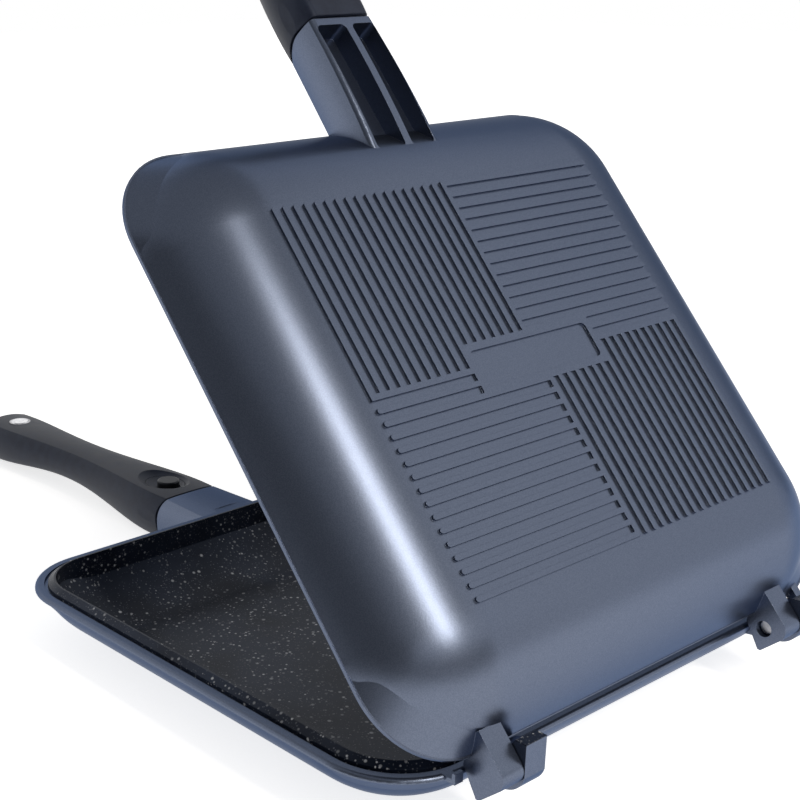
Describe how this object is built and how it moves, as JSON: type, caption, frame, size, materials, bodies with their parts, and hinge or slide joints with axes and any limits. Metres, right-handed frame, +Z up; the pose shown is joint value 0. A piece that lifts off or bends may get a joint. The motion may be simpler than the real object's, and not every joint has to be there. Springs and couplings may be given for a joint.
{
  "type": "stovetop sandwich toaster",
  "caption": "Two-sided hinged stovetop sandwich toaster: deep rounded cast trays with a raised comb on their outer faces, and a long moulded grip on each half.",
  "frame": {"origin": "centre of the lower tray, on the surface that its comb rests on", "axes": "+Z up, X along the hinge axis, +Y towards the hinge, -Y along the lower grip"},
  "size_m": [0.2526, 0.4565, 0.381],
  "materials": {
    "cast_pan": "satin metallic coat outside, speckled non-stick inside",
    "grip": "dark moulded, satin",
    "button": "dark moulded, satin",
    "steel": "turned steel",
    "magnet": "bright plated"
  },
  "bodies": {
    "base": {"lower_pan": "cast_pan", "hinge_pin_left": "steel", "hinge_pin_right": "steel", "lower_grip": "grip", "lower_button_bezel": "button", "lower_lock_spring": "steel", "lower_magnet": "magnet", "lower_magnet_cup": "steel"},
    "lid": {"upper_pan": "cast_pan", "upper_grip": "grip", "upper_button_bezel": "button", "upper_lock_spring": "steel", "upper_magnet": "magnet", "upper_magnet_cup": "steel"},
    "lower_release": {"lower_button": "button", "lower_lock_pin": "steel"},
    "upper_release": {"upper_button": "button", "upper_lock_pin": "steel"}
  },
  "joints": [
    {"name": "lid_hinge", "type": "hinge", "parent": "base", "child": "lid", "pos_m": [0, 0.1252, 0.0274], "axis": [-1, 0, 0], "range_deg": [-48.5, 31.5]},
    {"name": "lower_button_press", "type": "slide", "parent": "base", "child": "lower_release", "axis": [0, 0, -1], "range_m": [0, 0.0022], "stiffness_N_per_m": 800, "springref_m": -0.002, "deforming": ["lower_lock_spring"]},
    {"name": "upper_button_press", "type": "slide", "parent": "lid", "child": "upper_release", "axis": [0, 0.749, 0.6626], "range_m": [0, 0.0022], "stiffness_N_per_m": 800, "springref_m": -0.002, "deforming": ["upper_lock_spring"]}
  ]
}
